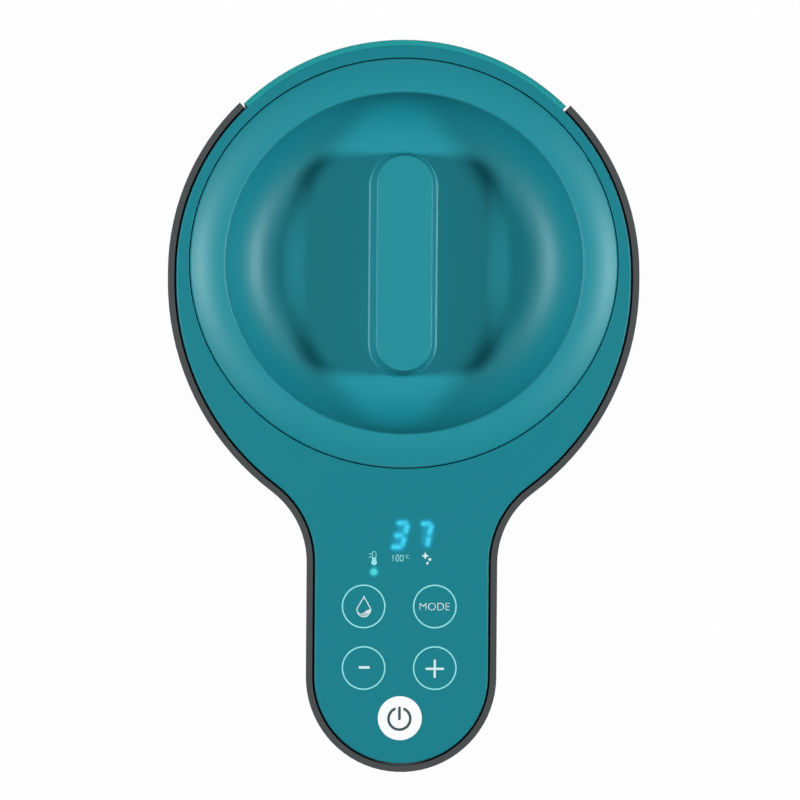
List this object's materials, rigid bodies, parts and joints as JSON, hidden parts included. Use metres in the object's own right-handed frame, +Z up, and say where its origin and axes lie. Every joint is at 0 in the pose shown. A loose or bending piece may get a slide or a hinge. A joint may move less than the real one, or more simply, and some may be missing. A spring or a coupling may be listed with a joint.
{
  "type": "baby formula water dispenser",
  "caption": "Countertop warm-water dispenser: round heated tank with lift-off lid and a tongue-shaped head with touch panel over a bottle bay and drip tray.",
  "frame": {"origin": "centre of the bounding box on the plane under the rubber feet", "axes": "+Z up, +Y from the tongue's nose to the back of the tank, +X to the right of someone facing the tongue"},
  "size_m": [0.179, 0.2793, 0.2667],
  "materials": {
    "teal_plastic": "satin moulded plastic",
    "charcoal_plastic": "fine matte moulded plastic",
    "black_plastic": "matte",
    "white_plastic": "satin food-grade plastic",
    "smoke_plastic": "satin",
    "rubber_black": "matte rubber",
    "silicone_clear": "milky silicone",
    "stainless": "brushed stainless steel",
    "screw_steel": "zinc-plated steel",
    "heater_aluminium": "cast aluminium",
    "board_green": "solder mask",
    "lamp_plastic": "clear moulded plastic",
    "foam_grey": "conductive foam"
  },
  "bodies": {
    "frame": {"base_housing": "charcoal_plastic", "column_housing": "charcoal_plastic", "head_housing": "charcoal_plastic", "base_plate": "black_plastic", "rubber_feet": "rubber_black", "base_screws": "screw_steel", "cord_gland": "rubber_black", "rear_cover": "teal_plastic", "top_panel": "teal_plastic", "nozzle": "white_plastic", "nozzle_gasket": "silicone_clear", "inner_pot": "stainless", "pot_base": "stainless", "pot_rim": "stainless", "pot_rim_seal": "silicone_clear", "pot_outlet": "stainless", "outlet_nut": "screw_steel", "suction_hose": "silicone_clear", "delivery_hose": "silicone_clear", "heater_plate": "heater_aluminium", "heating_element": "stainless", "thermostat": "black_plastic", "temperature_probe": "stainless", "pump_cushion": "rubber_black", "pump_motor": "screw_steel", "pump_housing": "black_plastic", "pump_cover": "black_plastic", "pump_o_ring": "rubber_black", "power_board": "board_green", "board_parts": "black_plastic", "power_board_screws": "screw_steel", "touch_board": "board_green", "touch_board_screws": "screw_steel", "display_module": "black_plastic", "indicator_leds": "lamp_plastic", "touch_pads": "foam_grey"},
    "lid": {"lid_shell": "teal_plastic", "lid_grip": "teal_plastic", "lid_liner": "white_plastic", "lid_seal": "silicone_clear", "lid_screws": "stainless"},
    "drip_tray": {"drip_tray": "smoke_plastic"},
    "drip_grille": {"drip_grille": "stainless"},
    "impeller": {"impeller": "white_plastic", "motor_shaft": "screw_steel"}
  },
  "joints": [
    {"name": "lid_lift", "type": "slide", "parent": "frame", "child": "lid", "axis": [0, 0, 1], "range_m": [0, 0.12]},
    {"name": "tray_lift", "type": "slide", "parent": "frame", "child": "drip_tray", "axis": [0, 0, 1], "range_m": [0, 0.06]},
    {"name": "grille_lift", "type": "slide", "parent": "drip_tray", "child": "drip_grille", "axis": [0, 0, 1], "range_m": [0, 0.04]},
    {"name": "impeller_spin", "type": "hinge", "parent": "frame", "child": "impeller", "pos_m": [0, -0.00345, 0.055], "axis": [0, 0, 1], "continuous": true}
  ]
}
